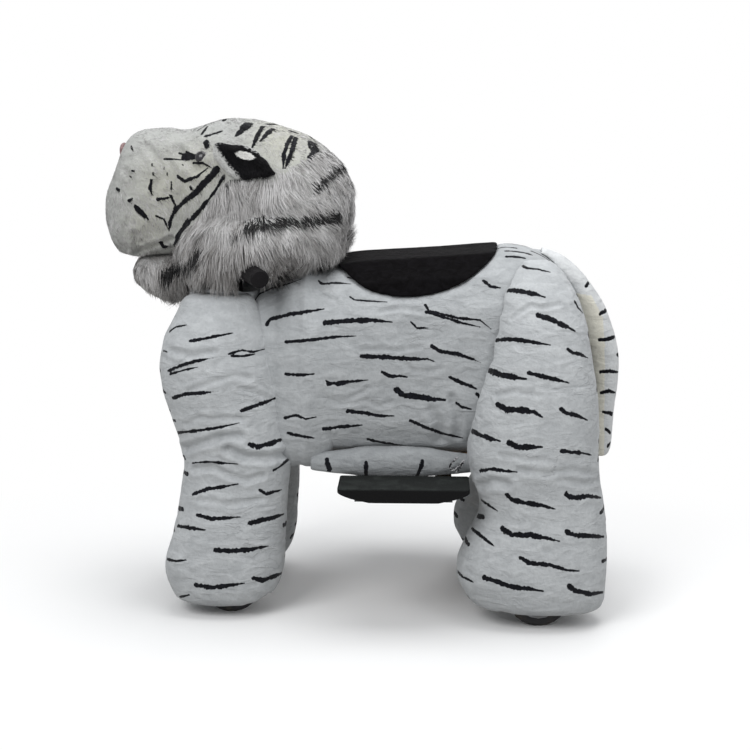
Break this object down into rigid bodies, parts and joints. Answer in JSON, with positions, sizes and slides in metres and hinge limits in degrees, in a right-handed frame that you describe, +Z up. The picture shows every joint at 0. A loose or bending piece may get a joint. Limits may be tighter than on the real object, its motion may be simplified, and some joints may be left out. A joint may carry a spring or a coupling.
{
  "type": "plush ride on animal",
  "caption": "Electric plush ride-on tiger: stuffed striped body over a steel frame, steering head and front legs, black saddle, handlebar, footboards, wheels hidden in the feet",
  "frame": {"origin": "middle of the bounding box at floor level, under the wheels", "axes": "animal faces -X, its left side is -Y, +Z up"},
  "size_m": [0.9513, 0.536, 0.897],
  "materials": {
    "white_plush": "short white plush with black stripes",
    "long_fur": "long grey-white fur",
    "saddle_cloth": "black velour",
    "frame_steel": "black powder coat",
    "bright_steel": "plated steel",
    "bearing_brass": "turned",
    "footboard_plastic": "grained dark grey",
    "plywood": "bare ply",
    "battery_case": "moulded",
    "strap_web": "woven webbing",
    "controller_metal": "extruded",
    "motor_paint": "satin black",
    "tyre_rubber": "solid rubber",
    "hub_plastic": "moulded",
    "grip_rubber": "soft black",
    "throttle_plastic": "moulded",
    "eye_glass": "domed glossy"
  },
  "bodies": {
    "chassis": {"main_beam": "frame_steel", "steering_head_tube": "frame_steel", "upper_head_bearing": "bearing_brass", "lower_head_bearing": "bearing_brass", "rear_frame": "frame_steel", "rear_bearing_left": "bearing_brass", "rear_bearing_right": "bearing_brass", "footrest_frame": "frame_steel", "footboard_left": "footboard_plastic", "footboard_right": "footboard_plastic", "base_board": "plywood", "seat_frame": "frame_steel", "seat_board": "plywood", "saddle_cushion": "saddle_cloth", "torso_plush": "white_plush", "belly_roll_left": "white_plush", "belly_roll_right": "white_plush", "rear_leg_plush_left": "white_plush", "rear_leg_plush_right": "white_plush", "tail_plush": "white_plush", "battery": "battery_case", "battery_strap": "strap_web", "controller_box": "controller_metal", "gear_motor": "motor_paint"},
    "steering": {"steering_column": "frame_steel", "fork_crown": "frame_steel", "front_post_left": "frame_steel", "front_post_right": "frame_steel", "front_axle_left": "bright_steel", "front_axle_right": "bright_steel", "handlebar": "bright_steel", "handlebar_clamp": "frame_steel", "grip_left": "grip_rubber", "grip_right": "grip_rubber", "throttle_housing": "throttle_plastic", "head_mount_plate": "frame_steel", "head_plush": "white_plush", "muzzle_plush": "white_plush", "lower_jaw_plush": "white_plush", "neck_ruff": "long_fur", "ear_left": "white_plush", "ear_right": "white_plush", "eye_left": "eye_glass", "eye_right": "eye_glass", "chest_plush": "white_plush", "front_leg_plush_left": "white_plush", "front_leg_plush_right": "white_plush"},
    "front_wheel_left": {"front_hub_left": "hub_plastic", "front_tyre_left": "tyre_rubber"},
    "front_wheel_right": {"front_hub_right": "hub_plastic", "front_tyre_right": "tyre_rubber"},
    "rear_axle_set": {"rear_axle": "bright_steel", "rear_hub_left": "hub_plastic", "rear_hub_right": "hub_plastic", "rear_tyre_left": "tyre_rubber", "rear_tyre_right": "tyre_rubber", "axle_gear": "bright_steel"},
    "pinion": {"motor_pinion": "bearing_brass"},
    "throttle": {"throttle_lever": "throttle_plastic"}
  },
  "joints": [
    {"name": "steering_pivot", "type": "hinge", "parent": "chassis", "child": "steering", "pos_m": [-0.245, 0, 0.26], "axis": [0, 0, 1], "range_deg": [-18, 18]},
    {"name": "front_wheel_left_spin", "type": "hinge", "parent": "steering", "child": "front_wheel_left", "pos_m": [-0.245, -0.13, 0.055], "axis": [0, 1, 0], "continuous": true},
    {"name": "front_wheel_right_spin", "type": "hinge", "parent": "steering", "child": "front_wheel_right", "pos_m": [-0.245, 0.13, 0.055], "axis": [0, 1, 0], "continuous": true},
    {"name": "rear_axle_spin", "type": "hinge", "parent": "chassis", "child": "rear_axle_set", "pos_m": [0.315, 0, 0.055], "axis": [0, 1, 0], "continuous": true},
    {"name": "pinion_spin", "type": "hinge", "parent": "chassis", "child": "pinion", "pos_m": [0.29373, 0, 0.095], "axis": [0, 1, 0], "continuous": true},
    {"name": "throttle_thumb", "type": "hinge", "parent": "steering", "child": "throttle", "pos_m": [-0.178, 0.212, 0.626], "axis": [0.3669, 0.9291, -0.0473], "range_deg": [0, 30], "stiffness_Nm_per_rad": 0.2}
  ],
  "couplings": [
    {"joint": "pinion_spin", "follows": "rear_axle_spin", "ratio": -4}
  ]
}
